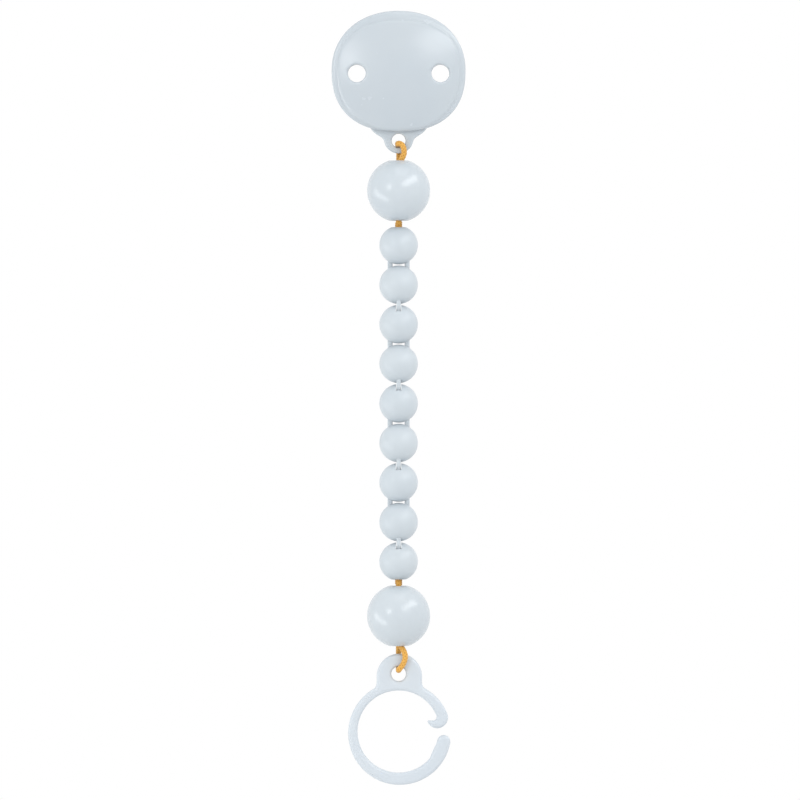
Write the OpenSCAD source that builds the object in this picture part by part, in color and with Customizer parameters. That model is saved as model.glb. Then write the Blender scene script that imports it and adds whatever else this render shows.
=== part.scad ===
// Soother holder: a garment clip, a chain of nine linked balls between two large beads, and a hook ring.
// It hangs from the clip. +Z is up, the front of the clip faces -Y.
// The origin is the middle of the clip's gripping line, on the rear face of the clip base.

/* [Clip] */
// Width of the oval front cover
cover_w = 38.8; // [34:0.1:44]
// Height of the cover above its widest line
cover_up = 17.3; // [15:0.1:20]
// Height of the cover below its widest line
cover_down = 17.7; // [15:0.1:20]
// How far the cover's top edge stands above the gripping line
cover_over_grip = 4.4; // [3:0.1:6]
// Depth of the domed cover in front of the base
cover_depth = 5.2; // [4.5:0.1:7]
// Radius of the dome of the cover
dome_r = 52; // [48:1:60]
// Wall thickness of the cover
cover_wall = 1.4; // [1:0.1:1.8]
// Thickness of the base plate and its eyelet tab
base_t = 2; // [1.8:0.1:2.4]
// Diameter of the two vent holes
vent_d = 5.2; // [5:0.1:5.6]
// Distance of each vent hole from the middle
vent_x = 12.1; // [11.8:0.1:12.8]

/* [Jaw] */
// Width of the rear jaw
jaw_w = 14.4; // [12:0.1:15]
// Clear depth of the throat behind the base
throat = 4.5; // [4.2:0.1:5]
// Distance of the hinge pin below the gripping line
hinge_drop = 17.5; // [16:0.1:19]
// Distance of the hinge pin behind the base
hinge_y = 3.6; // [3.4:0.1:4]
// Diameter of the hinge pin
hinge_pin_d = 2; // [1.8:0.1:2.2]
// Wire diameter of the torsion spring
wire_d = 0.7; // [0.5:0.1:0.8]

/* [Chain] */
// Diameter of a small ball
ball_d = 11.2; // [10.9:0.1:11.3]
// Distance between the centres of two small balls
ball_pitch = 11.47; // [11.4:0.01:11.6]
// Width of the link loop under a small ball
link_w = 6.4; // [6:0.1:6.6]
// Thickness of the link loop
link_t = 1.25; // [1.1:0.05:1.4]
// Width of the arms of the link loop
link_arm = 1.45; // [1.3:0.05:1.6]
// Diameter of the cross pin inside a small ball
ball_pin_d = 1.6; // [1.4:0.1:1.8]
// Height of the cross pin above the centre of its ball
ball_pin_up = 3; // [2.8:0.1:3.2]
// Swing of one ball against the next, each way
ball_swing = 25; // [15:1:25]
// Diameter of the two large beads
bead_d = 18.3; // [17.5:0.1:18.4]
// Diameter of the bore through a large bead
bead_bore = 3.8; // [3.7:0.1:4.4]
// Diameter of the cord
cord_d = 1.65; // [1.4:0.05:1.65]

/* [Hook ring] */
// Inner diameter of the hook ring
ring_in_d = 23.8; // [23:0.1:25]
// Outer diameter of the hook ring
ring_out_d = 29.9; // [29.6:0.1:30.4]
// Thickness of the hook ring
ring_t = 3.2; // [2.8:0.1:3.4]
// Outer diameter of the hook ring's eyelet tab
ring_tab_d = 13.2; // [12.8:0.1:13.6]
// Diameter of the cord hole in the hook ring
ring_hole_d = 4.2; // [4:0.1:4.4]

/* [Hidden] */
$fn = 64;
pale = "#d3dbe4";
gold = "#e0a640";
steel = "#b8bcc2";
e = 0.01;

// Places down the chain; the chain hangs in the middle plane of the base plate.
chain_y = -base_t / 2;
cover_mid = cover_over_grip - cover_up;
vent_z = cover_mid - 0.9;
clip_eye_z = -33.2;
clip_eye_d = 4;
clip_tab_r = 4.3;
clip_tab_z = clip_eye_z + 0.6;
upper_bead_z = -47.65;
ball_1_z = -63.4;
ball_9_z = ball_1_z - 8 * ball_pitch;
lower_bead_z = ball_9_z - 15.8;
ring_eye_z = -187.75;
ring_tab_z = -188.5;
ring_z = -204.5;
ring_tab_x = 0.2;
ring_out_x = 0.3;
ring_out_z = -205;

// Fits
pin_gap = 0.06;
link_gap = 0.25;
slot_side = 0.15;
knot_gap = 0.12;

// The knot chamber and the cord's mouth in the first and last small ball
mouth_d = 4;
chamber_d = 5.2;
chamber_off = 2.5;
cord_pivot = 4.9;
strand_off = 0.85;
bundle_r = strand_off + cord_d / 2;

function ball_z(k) = ball_1_z - (k - 1) * ball_pitch;

// ---------- helpers ----------

// Turns a flat shape drawn in X and Z into a plate between two depths.
module plate(y0, y1) {
    translate([0, y1, 0]) rotate([90, 0, 0]) linear_extrude(y1 - y0) children();
}

// Turns a flat shape drawn in Y and Z into a bar centred on X.
module bar(w) {
    rotate([90, 0, 90]) translate([0, 0, -w / 2]) linear_extrude(w) children();
}

// Points of a closed superellipse whose upper and lower halves differ
function oval(half_w, up, down, n_up = 2.12, n_down = 2.38, steps = 72) = [
    for (i = [0 : steps - 1])
        let (a = 360 * i / steps, n = a < 180 ? n_up : n_down, h = a < 180 ? up : down)
            [half_w * sign(cos(a)) * pow(abs(cos(a)), 2 / n), h * sign(sin(a)) * pow(abs(sin(a)), 2 / n)]
];

// The cover's outline, drawn in by an inset
module cover_outline(inset = 0) {
    translate([0, cover_mid])
        polygon(oval(cover_w / 2 - inset, cover_up - inset, cover_down - inset));
}

// ---------- clip ----------

// The dome that closes the front of the cover, thinner by an inset
module dome(inset = 0) {
    translate([0, -base_t - cover_depth + dome_r, cover_mid]) sphere(r = dome_r - inset, $fn = 128);
}

module vents(y0, y1, d) {
    for (s = [-1, 1]) translate([s * vent_x, y0, vent_z]) rotate([-90, 0, 0]) cylinder(d = d, h = y1 - y0);
}

// Snap posts inside the cover, pressed into blind holes in the base plate
snap_posts = [[-9, -4.5], [9, -4.5], [-8, -23], [8, -23]];
post_d = 2.4;
post_end = -base_t + 1.2;

module posts(y0) {
    for (p = snap_posts)
        translate([p[0], y0, p[1]]) rotate([-90, 0, 0]) cylinder(d = post_d, h = post_end - y0);
}

module clip_cover() {
    front = -base_t - cover_depth - 1;
    color(pale) difference() {
        union() {
            difference() {
                intersection() {
                    plate(front, -base_t) cover_outline();
                    dome();
                }
                intersection() {
                    plate(front, -base_t + 1) cover_outline(cover_wall);
                    dome(cover_wall);
                }
            }
            intersection() {
                union() {
                    vents(front, -base_t, vent_d + 2 * cover_wall);
                    posts(front);
                }
                dome(cover_wall / 2);
            }
        }
        vents(front, 1, vent_d);
    }
}

// The eyelet tab that hangs from the base plate, with flared shoulders
module clip_tab_shape() {
    left = [[-8.6, 4.5], [-7.5, 2.1], [-6.5, 1.3], [-5.5, 0.7], [-4.7, 0.2], [-clip_tab_r, -0.3]];
    right = [for (i = [len(left) - 1 : -1 : 0]) [-left[i][0], left[i][1]]];
    translate([0, clip_tab_z]) {
        circle(r = clip_tab_r);
        polygon(concat(left, right));
    }
}

// Round boss of the hinge, on the base's ears and on the jaw's knuckles
boss_r = 2.2;

// One hinge ear, as a side view; its root reaches into the base plate
module ear_shape() {
    root = 0.5;
    translate([hinge_y, -hinge_drop]) circle(r = boss_r);
    translate([-root, -hinge_drop - boss_r]) square([hinge_y + root, 2 * boss_r]);
}

// One gripping tooth across the clip, from its root to its tip; the teeth stop short of the jaw's sides
tooth_half = 0.4;

module tooth(root, tip) {
    side = 1;
    bar(jaw_w - 2 * side) polygon([[root, -tooth_half], [tip, 0], [root, tooth_half]]);
}

ear_in = jaw_w / 2 + 0.2;
ear_t = 1.6;

module clip_base() {
    tooth_rows = [-0.8, 0.8];
    tooth_tip = 0.5;
    edge_inset = 0.8;
    color(pale) difference() {
        union() {
            plate(-base_t, 0) {
                cover_outline(edge_inset);
                clip_tab_shape();
            }
            for (s = [-1, 1])
                translate([s * (ear_in + ear_t / 2), 0, 0]) bar(ear_t) ear_shape();
            for (z = tooth_rows) translate([0, 0, z]) tooth(-e, tooth_tip);
        }
        vents(-base_t - 1, 1, vent_d);
        posts(-base_t - e);
        translate([0, -base_t - 1, clip_eye_z]) rotate([-90, 0, 0]) cylinder(d = clip_eye_d, h = base_t + 2);
        translate([-ear_in - ear_t - 1, hinge_y, -hinge_drop]) rotate([0, 90, 0])
            cylinder(d = hinge_pin_d, h = 2 * (ear_in + ear_t + 1));
    }
}

jaw_top = 2.3;
jaw_bottom = -29.4;
// Depth of the jaw's gripping lip behind the base
jaw_lip = 0.7;
// Where the back of the thumb pad starts, and how far it leans back for each step down
pad_back = [8.1, -20.5];
pad_lean = 0.148;

// Side view of the jaw: nose, throat, back and thumb pad
module jaw_shape() {
    polygon([[jaw_lip, 1.5], [jaw_lip, -1.6], [1.5, -2.1], [throat, -2.6], [throat, -11.5], [5.9, -14.6],
        [6.1, -20.5], [7.6, -28.9], [8.1, jaw_bottom], [8.9, -29.3], [9.3, -28.6], pad_back,
        [7.8, -14.5], [6.4, -10.8], [6.2, -1.2], [5.3, 1.1], [3.4, jaw_top], [1.5, 2.2]]);
}

// Plan outline of the jaw, rounded at the nose and more so at the thumb pad
module jaw_plan() {
    nose_r = 1.2;
    pad_r = 3.4;
    nose_z = jaw_top - nose_r;
    pad_z = jaw_bottom + pad_r;
    translate([-jaw_w / 2, pad_z]) square([jaw_w, nose_z - pad_z]);
    translate([-jaw_w / 2 + nose_r, nose_z - e]) square([jaw_w - 2 * nose_r, nose_r + e]);
    translate([-jaw_w / 2 + pad_r, jaw_bottom]) square([jaw_w - 2 * pad_r, pad_r + e]);
    for (s = [-1, 1]) {
        translate([s * (jaw_w / 2 - nose_r), nose_z]) circle(r = nose_r);
        translate([s * (jaw_w / 2 - pad_r), pad_z]) circle(r = pad_r);
    }
}

// Grip ridges across the back of the thumb pad
module ridges() {
    ridge_r = 0.45;
    ridge_sunk = 0.15;
    ridge_gap = 1.2;
    lowest = -27.9;
    for (i = [0 : 4])
        let (z = lowest + ridge_gap * i, y = pad_back[0] + (pad_back[1] - z) * pad_lean - ridge_sunk)
            translate([-jaw_w / 2, y, z]) rotate([0, 90, 0]) cylinder(r = ridge_r, h = jaw_w, $fn = 24);
}

module clip_jaw() {
    spring_room = 6.8;
    knuckle_w = (jaw_w - spring_room) / 2;
    knuckle_reach = 2.6;
    tooth_tip = 0.15;
    color(pale) difference() {
        union() {
            intersection() {
                union() {
                    bar(jaw_w) jaw_shape();
                    ridges();
                }
                plate(-1, 12) jaw_plan();
            }
            for (s = [-1, 1])
                translate([s * (spring_room + knuckle_w) / 2, 0, 0]) bar(knuckle_w) {
                    translate([hinge_y, -hinge_drop]) circle(r = boss_r);
                    translate([hinge_y, -hinge_drop - boss_r]) square([knuckle_reach, 2 * boss_r]);
                }
            tooth(jaw_lip + e, tooth_tip);
        }
        translate([-jaw_w / 2 - 1, hinge_y, -hinge_drop]) rotate([0, 90, 0])
            cylinder(d = hinge_pin_d + 2 * pin_gap, h = jaw_w + 2);
    }
}

module jaw_pin() {
    color(steel) translate([-ear_in - ear_t, hinge_y, -hinge_drop]) rotate([0, 90, 0])
        cylinder(d = hinge_pin_d, h = 2 * (ear_in + ear_t));
}

// Wire of the torsion spring: one leg on the base, the coil around the pin, one leg on the jaw
module jaw_spring() {
    turns = 5.5;
    steps = 10;
    coil_gap = 0.3;
    coil_r = hinge_pin_d / 2 + coil_gap + wire_d / 2;
    pitch = wire_d * 1.1;
    half = turns / 2 * pitch;
    leg_z = -26.5;
    leg_start = -hinge_drop - 1.2;
    jaw_leg_y = 6.65;
    wire = concat(
        [[-half, wire_d / 2, leg_z], [-half, hinge_y - coil_r, leg_start]],
        [for (i = [0 : turns * steps])
            let (a = 180 + 360 * i / steps)
                [-half + pitch * i / steps, hinge_y + coil_r * cos(a), -hinge_drop - coil_r * sin(a)]],
        [[half, hinge_y + coil_r, leg_start], [half, jaw_leg_y, leg_z]]);
    color(steel) tube(wire, wire_d);
}

// ---------- cords ----------

// The upper cord: up from the first ball through the bead, through the clip's eyelet, and down again.
// Depths are measured from the chain's middle plane.
upper_route = [[0, 0.85, -57.4], [0, 0.85, -54], [0, 0.85, -48], [0, 0.85, -43], [0, 0.9, -40.5],
    [0.1, 1.1, -39], [0.1, 1.6, -37.8], [0.1, 2, -36.6], [0, 2.05, -35.4], [-0.2, 1.6, -34.5],
    [-0.2, 0.6, -34.25], [-0.2, -0.6, -34.2], [-0.2, -1.5, -34.1], [0.4, -2, -34.1],
    [1.1, -2.05, -34.6], [1.5, -2.05, -35.6], [1.6, -2, -36.8], [1.3, -1.85, -37.8],
    [0.7, -1.35, -38.9], [0.2, -1, -40], [0, -0.85, -42], [0, -0.85, -48], [0, -0.85, -54],
    [0, -0.85, -57.4]];

// The lower cord: down from the last ball through the bead, through the ring's eyelet, and up again.
lower_route = [[0, 0.85, -161.2], [0, 0.85, -165], [0, 0.85, -171], [0, 0.85, -176.5], [0, 0.9, -178.3],
    [0, 1.1, -179.3], [0, 1.7, -180.3], [0, 2.5, -181.4], [0, 2.7, -182.6], [0, 2.7, -184],
    [0, 2.5, -185.6], [0, 1.8, -186.5], [0, 0.6, -186.7], [0, -0.6, -186.7],
    [0, -1.8, -186.6], [0.4, -2.6, -186.1], [1.1, -2.7, -185.2], [1.7, -2.7, -183.9],
    [1.9, -2.7, -182.5], [1.6, -2.5, -181.3], [0.9, -1.6, -180.1], [0.2, -1, -179],
    [0, -0.85, -177.5], [0, -0.85, -171], [0, -0.85, -165], [0, -0.85, -161.2]];

// A point on the smooth curve through four neighbouring points
function curve_point(a, b, c, d, t) =
    0.5 * (2 * b + (c - a) * t + (2 * a - 5 * b + 4 * c - d) * t * t + (3 * b - a - 3 * c + d) * t * t * t);

// A smooth curve through a route's points, with a number of steps between two points
function smooth(p, steps) = let (n = len(p)) [
    for (i = [0 : n - 2], k = [0 : steps - 1])
        curve_point(p[max(i - 1, 0)], p[i], p[i + 1], p[min(i + 2, n - 1)], k / steps),
    p[n - 1]
];

function unit(v) = v / norm(v);

// A round tube along a curve that stays close to a plane of constant X
module tube(curve, d, sides = 8) {
    n = len(curve);
    rings = [
        for (i = [0 : n - 1])
            let (t = unit(curve[min(i + 1, n - 1)] - curve[max(i - 1, 0)]),
                 u = unit([1, 0, 0] - t[0] * t),
                 v = cross(t, u))
                for (k = [0 : sides - 1])
                    curve[i] + d / 2 * (cos(360 * k / sides) * u + sin(360 * k / sides) * v)
    ];
    skin = [
        for (i = [0 : n - 2], k = [0 : sides - 1])
            let (a = i * sides + k, b = i * sides + (k + 1) % sides)
                [a, a + sides, b + sides, b]
    ];
    first = [for (k = [0 : sides - 1]) k];
    last = [for (k = [sides - 1 : -1 : 0]) (n - 1) * sides + k];
    polyhedron(rings, concat(skin, [first], [last]));
}

// The round end where a cord bends in the mouth of a small ball
module cord_end(z) {
    translate([0, 0, z]) sphere(r = bundle_r, $fn = 48);
}

// The knot that holds a cord's end in a small ball; the cord's round end sits in a cup in its top.
module knot(z, up) {
    core_r = 1.5;
    wrap_r = 0.8;
    rise = 1.15;
    wraps = [1.2, 1.65, 1.2];
    color(gold) translate([0, chain_y, z]) difference() {
        translate([0, 0, up * chamber_off]) {
            sphere(r = core_r, $fn = 32);
            for (i = [0 : 2])
                translate([0, 0, rise * (i - 1)]) rotate_extrude()
                    translate([wraps[i], 0]) circle(r = wrap_r, $fn = 24);
        }
        translate([0, 0, up * cord_pivot]) sphere(r = bundle_r + knot_gap, $fn = 48);
    }
}

module upper_cord() {
    color(gold) translate([0, chain_y, 0]) {
        tube(smooth(upper_route, 3), cord_d);
        cord_end(ball_1_z + cord_pivot);
    }
}

module lower_cord() {
    color(gold) translate([0, chain_y, 0]) {
        tube(smooth(lower_route, 3), cord_d);
        cord_end(ball_9_z - cord_pivot);
    }
}

module upper_knot() {
    knot(ball_1_z, 1);
}

module lower_knot() {
    knot(ball_9_z, -1);
}

// ---------- beads and balls ----------

// A large bead: bore, and a wide round mouth at each end
module bead(z) {
    mouth_r = 2.5;
    mouth_deep = 1;
    rim = sqrt(pow(bead_d / 2, 2) - mouth_r * mouth_r);
    color(pale) translate([0, chain_y, z]) rotate_extrude($fn = 96) difference() {
        intersection() {
            circle(d = bead_d, $fn = 128);
            translate([bead_bore / 2, -bead_d / 2]) square([bead_d, bead_d]);
        }
        for (s = [0, 1]) mirror([0, s])
            polygon([[0, rim - mouth_deep], [bead_bore / 2, rim - mouth_deep], [mouth_r, rim],
                [mouth_r, bead_d / 2], [0, bead_d / 2]]);
    }
}

module upper_bead() {
    bead(upper_bead_z);
}

module lower_bead() {
    bead(lower_bead_z);
}

link_r = link_w / 2;
// Centre of the round end of a link loop, above the centre of the ball it hangs in
link_end_up = ball_pin_up - ball_pin_d / 2 - pin_gap + (link_r - link_arm);
// How far up a link loop reaches into the ball that it belongs to
link_top = 7.3;

// Outline of a link loop, seen flat, from the centre of the ball that its end lies in
module link_outline(grow = 0, top = link_top) {
    translate([0, link_end_up]) circle(r = link_r + grow);
    translate([-link_r - grow, link_end_up]) square([2 * (link_r + grow), top - link_end_up]);
}

module link_window() {
    translate([0, link_end_up]) circle(r = link_r - link_arm);
    translate([-link_r + link_arm, link_end_up])
        square([link_w - 2 * link_arm, link_top + 1 - link_end_up]);
}

// The slot in the top of a ball, which lets the link above swing about the cross pin
module link_slot() {
    steps = 4;
    for (i = [0 : steps])
        translate([0, ball_pin_up]) rotate(ball_swing * (2 * i / steps - 1)) translate([0, -ball_pin_up])
            link_outline(link_gap, ball_d);
}

// Odd balls carry their slot in the side plane and their loop in the front plane; even balls the other way.
function slot_turn(k) = k % 2 == 1 ? 90 : 0;

// The cross pin is pressed in from one side; its blind end lies this far past the middle
ball_pin_in = 2.8;
ball_pin_l = 6.7;

module small_ball(k) {
    slot_t = link_t + 2 * slot_side;
    bore_deep = ball_pin_in + 0.1;
    color(pale) translate([0, chain_y, ball_z(k)]) difference() {
        union() {
            sphere(d = ball_d, $fn = 96);
            if (k < 9)
                rotate([0, 0, 90 - slot_turn(k)]) translate([0, 0, -ball_pitch])
                    plate(-link_t / 2, link_t / 2) difference() {
                        link_outline();
                        link_window();
                    }
        }
        if (k > 1)
            rotate([0, 0, slot_turn(k)]) {
                plate(-slot_t / 2, slot_t / 2) link_slot();
                translate([0, -bore_deep, ball_pin_up]) rotate([-90, 0, 0])
                    cylinder(d = ball_pin_d, h = ball_d);
            }
        if (k == 1) cord_mouth(1);
        if (k == 9) cord_mouth(-1);
    }
}

// The knot chamber and the mouth through which the cord leaves it, up or down
module cord_mouth(up) {
    translate([0, 0, up * chamber_off]) sphere(d = chamber_d, $fn = 48);
    translate([0, 0, up > 0 ? chamber_off : -ball_d]) cylinder(d = mouth_d, h = ball_d - chamber_off);
}

module ball_pin(k) {
    color(pale) translate([0, chain_y, ball_z(k)]) rotate([0, 0, slot_turn(k)])
        translate([0, -ball_pin_in, ball_pin_up]) rotate([-90, 0, 0])
            cylinder(d = ball_pin_d, h = ball_pin_l);
}

// ---------- hook ring ----------

// Points of an arc about a centre, from one angle to another in steps of 3 degrees or less
function arc(c, r, a0, a1) = let (steps = ceil(abs(a1 - a0) / 3))
    [for (i = [0 : steps]) c + r * [cos(a0 + (a1 - a0) * i / steps), sin(a0 + (a1 - a0) * i / steps)]];

// The whole outline of the ring: hook, outer edge, eyelet tab with a flared foot, outer edge,
// tongue, inner edge, the notch inside the hook and the lip at the hook's end
module ring_shape() {
    outer_c = [ring_out_x, ring_out_z];
    outer_r = ring_out_d / 2;
    tab_c = [ring_tab_x, ring_tab_z];
    tab_r = ring_tab_d / 2;
    foot = [[tab_r, -2.1], [tab_r + 0.2, -2.8]];
    hook_c = [11.2, -200.4];
    hook_r = 3.15;
    tongue_c = [13.07, -207.45];
    tongue_r = 1.95;
    tongue_root = [[10.85, -208.2], [10.3, -209.2], [9.75, -210.4]];
    notch_c = [9.93, -200.25];
    notch_r = 1.12;
    lip_c = [8.68, -201.62];
    lip_r = 0.42;
    polygon(concat(
        arc(hook_c, hook_r, 204, 382),
        arc(outer_c, outer_r, 22, 62),
        [for (i = [1, 0]) tab_c + foot[i]],
        arc(tab_c, tab_r, -6, 186),
        [for (p = foot) tab_c + [-p[0], p[1]]],
        arc(outer_c, outer_r, 119, 349),
        arc(tongue_c, tongue_r, -10, 180),
        tongue_root,
        arc([0, ring_z], ring_in_d / 2, 319, 22),
        arc(notch_c, notch_r, 10, -110),
        arc(lip_c, lip_r, 80, 190)));
}

module hook_ring() {
    color(pale) difference() {
        plate(chain_y - ring_t / 2, chain_y + ring_t / 2) ring_shape();
        translate([0, chain_y - ring_t, ring_eye_z]) rotate([-90, 0, 0])
            cylinder(d = ring_hole_d, h = 2 * ring_t);
    }
}

clip_cover();
clip_base();
clip_jaw();
jaw_pin();
jaw_spring();
upper_cord();
upper_bead();
upper_knot();
small_ball(1);  // small_ball_1
small_ball(2);  // small_ball_2
small_ball(3);  // small_ball_3
small_ball(4);  // small_ball_4
small_ball(5);  // small_ball_5
small_ball(6);  // small_ball_6
small_ball(7);  // small_ball_7
small_ball(8);  // small_ball_8
small_ball(9);  // small_ball_9
ball_pin(2);  // ball_pin_2
ball_pin(3);  // ball_pin_3
ball_pin(4);  // ball_pin_4
ball_pin(5);  // ball_pin_5
ball_pin(6);  // ball_pin_6
ball_pin(7);  // ball_pin_7
ball_pin(8);  // ball_pin_8
ball_pin(9);  // ball_pin_9
lower_knot();
lower_cord();
lower_bead();
hook_ring();
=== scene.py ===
"""Looks of the soother holder: a garment clip, a chain of linked balls between two beads, and a hook ring.

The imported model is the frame. Lengths in this file are millimetres, and add_piece() turns them into metres.
"""
import math

import bmesh
import bpy
import numpy as np
from mathutils import Matrix, Vector, geometry


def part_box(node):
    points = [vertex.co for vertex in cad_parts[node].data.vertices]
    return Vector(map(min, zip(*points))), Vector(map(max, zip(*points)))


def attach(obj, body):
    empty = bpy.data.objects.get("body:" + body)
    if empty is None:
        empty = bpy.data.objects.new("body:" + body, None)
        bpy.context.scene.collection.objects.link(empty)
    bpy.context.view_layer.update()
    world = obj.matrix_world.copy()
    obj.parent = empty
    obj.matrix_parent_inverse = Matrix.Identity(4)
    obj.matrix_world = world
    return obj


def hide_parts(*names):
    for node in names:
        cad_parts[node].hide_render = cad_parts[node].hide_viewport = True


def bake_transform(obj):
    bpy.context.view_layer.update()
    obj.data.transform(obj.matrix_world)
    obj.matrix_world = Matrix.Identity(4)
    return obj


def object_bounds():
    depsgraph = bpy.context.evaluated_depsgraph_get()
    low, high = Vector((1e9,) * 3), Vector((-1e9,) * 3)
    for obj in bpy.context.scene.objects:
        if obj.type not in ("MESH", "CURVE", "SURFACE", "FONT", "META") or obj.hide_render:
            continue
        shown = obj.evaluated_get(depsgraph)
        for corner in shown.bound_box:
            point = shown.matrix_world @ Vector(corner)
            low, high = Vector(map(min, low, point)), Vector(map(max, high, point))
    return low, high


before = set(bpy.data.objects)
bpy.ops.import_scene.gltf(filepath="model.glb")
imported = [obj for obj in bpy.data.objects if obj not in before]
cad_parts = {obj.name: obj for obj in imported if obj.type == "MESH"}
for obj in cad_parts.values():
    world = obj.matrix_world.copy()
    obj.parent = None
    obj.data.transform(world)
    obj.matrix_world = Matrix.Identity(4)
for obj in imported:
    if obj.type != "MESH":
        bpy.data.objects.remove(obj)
cad_low, cad_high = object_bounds()

MM = 0.001

# ---------- sizes, from the frame and the driving dimensions of the design ----------


def span(node):
    """Lowest and highest corner of a CAD node, in millimetres."""
    low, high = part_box(node)
    return np.array(low) / MM, np.array(high) / MM


COVER_LOW, COVER_HIGH = span("clip_cover")
RING_LOW, RING_HIGH = span("hook_ring")
PIN_LOW, PIN_HIGH = span("jaw_pin")

BASE_T = 2.0
CHAIN_Y = -BASE_T / 2
COVER_HALF_W = (COVER_HIGH[0] - COVER_LOW[0]) / 2
COVER_UP = 17.3
COVER_MID = COVER_HIGH[2] - COVER_UP
COVER_DOWN = COVER_MID - COVER_LOW[2]
COVER_WALL = 1.4
DOME_R = 52.0
DOME_TOP_Y = COVER_LOW[1]
VENT_R = 2.6
VENT_X = 12.1
VENT_Z = COVER_MID - 0.9
CLIP_EYE_Z = -33.2
CLIP_EYE_R = 2.0
CLIP_TAB_Z = CLIP_EYE_Z + 0.6
CLIP_TAB_R = 4.3
SNAP_POSTS = [(-9, -4.5), (9, -4.5), (-8, -23), (8, -23)]

HINGE_R = (PIN_HIGH[2] - PIN_LOW[2]) / 2
HINGE_Y = (PIN_HIGH[1] + PIN_LOW[1]) / 2
HINGE_Z = (PIN_HIGH[2] + PIN_LOW[2]) / 2
JAW_HALF_W = 7.2
EAR_IN = JAW_HALF_W + 0.2
EAR_T = 1.6
WIRE_D = 0.7

BALL_R = 5.6
LINK_T = 1.25
LINK_R = 3.2
LINK_ARM = 1.45
PIN_UP = 3.0
LINK_PIN_R = 0.8
LINK_PLAY = 0.06
LINK_END_UP = PIN_UP - LINK_PIN_R - LINK_PLAY + LINK_R - LINK_ARM
LINK_GAP = 0.25
SLOT_T = LINK_T + 0.3
SWING = 25
BALL_Z = {k: span(f"small_ball_{k}")[1][2] - BALL_R for k in (2, 9)}
BALL_PITCH = (BALL_Z[2] - BALL_Z[9]) / 7

CORD_D = 1.65
CORD_PIVOT = 4.9
CHAMBER_R = 2.6
CHAMBER_OFF = 2.5
MOUTH_R = 2.0

RING_EYE_Z = -187.75
RING_EYE_R = 2.1


def ball_z(k):
    """Height of the centre of a small ball."""
    return BALL_Z[2] - (k - 2) * BALL_PITCH


# The cords' routes, as the design has them. Depths are measured from the chain's middle plane, which
# lies at CHAIN_Y.
UPPER_ROUTE = [
    (0, 0.85, -57.4), (0, 0.85, -54), (0, 0.85, -48), (0, 0.85, -43), (0, 0.9, -40.5),
    (0.1, 1.1, -39), (0.1, 1.6, -37.8), (0.1, 2, -36.6), (0, 2.05, -35.4), (-0.2, 1.6, -34.5),
    (-0.2, 0.6, -34.25), (-0.2, -0.6, -34.2), (-0.2, -1.5, -34.1), (0.4, -2, -34.1),
    (1.1, -2.05, -34.6), (1.5, -2.05, -35.6), (1.6, -2, -36.8), (1.3, -1.85, -37.8),
    (0.7, -1.35, -38.9), (0.2, -1, -40), (0, -0.85, -42), (0, -0.85, -48), (0, -0.85, -54),
    (0, -0.85, -57.4),
]
LOWER_ROUTE = [
    (0, 0.85, -161.2), (0, 0.85, -165), (0, 0.85, -171), (0, 0.85, -176.5), (0, 0.9, -178.3),
    (0, 1.1, -179.3), (0, 1.7, -180.3), (0, 2.5, -181.4), (0, 2.7, -182.6), (0, 2.7, -184),
    (0, 2.5, -185.6), (0, 1.8, -186.5), (0, 0.6, -186.7), (0, -0.6, -186.7),
    (0, -1.8, -186.6), (0.4, -2.6, -186.1), (1.1, -2.7, -185.2), (1.7, -2.7, -183.9),
    (1.9, -2.7, -182.5), (1.6, -2.5, -181.3), (0.9, -1.6, -180.1), (0.2, -1, -179),
    (0, -0.85, -177.5), (0, -0.85, -171), (0, -0.85, -165), (0, -0.85, -161.2),
]

# ---------- camera, lights and studio ----------

LENS = 300.0
SENSOR = 36.0
VIEW_SHARE = 1.034
FLOOR_RADIUS = 9.0
FLOOR_BELOW = 0.7
FADE_START, FADE_END = 0.6, 1.6


def make_camera():
    """Straight in front of the object, at its middle height."""
    view_height = (cad_high.z - cad_low.z) * VIEW_SHARE
    middle_z = (cad_high.z + cad_low.z) / 2 - 0.6 * MM
    data = bpy.data.cameras.new("camera")
    data.lens = LENS
    data.sensor_width = SENSOR
    camera = bpy.data.objects.new("camera", data)
    camera.location = (0.4 * MM, CHAIN_Y * MM - view_height * LENS / SENSOR, middle_z)
    camera.rotation_euler = (math.radians(90), 0, 0)
    bpy.context.scene.collection.objects.link(camera)
    bpy.context.scene.camera = camera


def area_light(name, direction, distance, size, watts, along=(0, 0, 1)):
    """A soft box that shines on the middle of the object from a direction, its long side along another."""
    data = bpy.data.lights.new(name, "AREA")
    data.shape = "RECTANGLE"
    data.size, data.size_y = size
    data.energy = watts
    light = bpy.data.objects.new(name, data)
    middle = (cad_low + cad_high) / 2
    back = Vector(direction).normalized()
    side = Vector(along).cross(back).normalized()
    light.rotation_euler = Matrix((side, back.cross(side), back)).transposed().to_euler()
    light.location = middle + back * distance
    bpy.context.scene.collection.objects.link(light)


def make_lights():
    """Two long strip boxes, high right and low left, and broad weak boxes from the left and from above."""
    area_light("key_strip", (0.62, -0.54, 0.57), 1.1, (0.34, 1.4), 4.0, (0.6, 1.13, 0.27))
    area_light("fill_strip", (-0.92, -0.28, -0.26), 1.1, (0.3, 1.3), 2.7, (-0.54, 1.03, 0.76))
    area_light("left_box", (-0.56, -0.78, 0.25), 1.2, (0.36, 0.36), 1.25)
    area_light("top_box", (0.1, -0.25, 1.0), 1.2, (0.9, 0.6), 1.0, (1, 0, 0))


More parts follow.
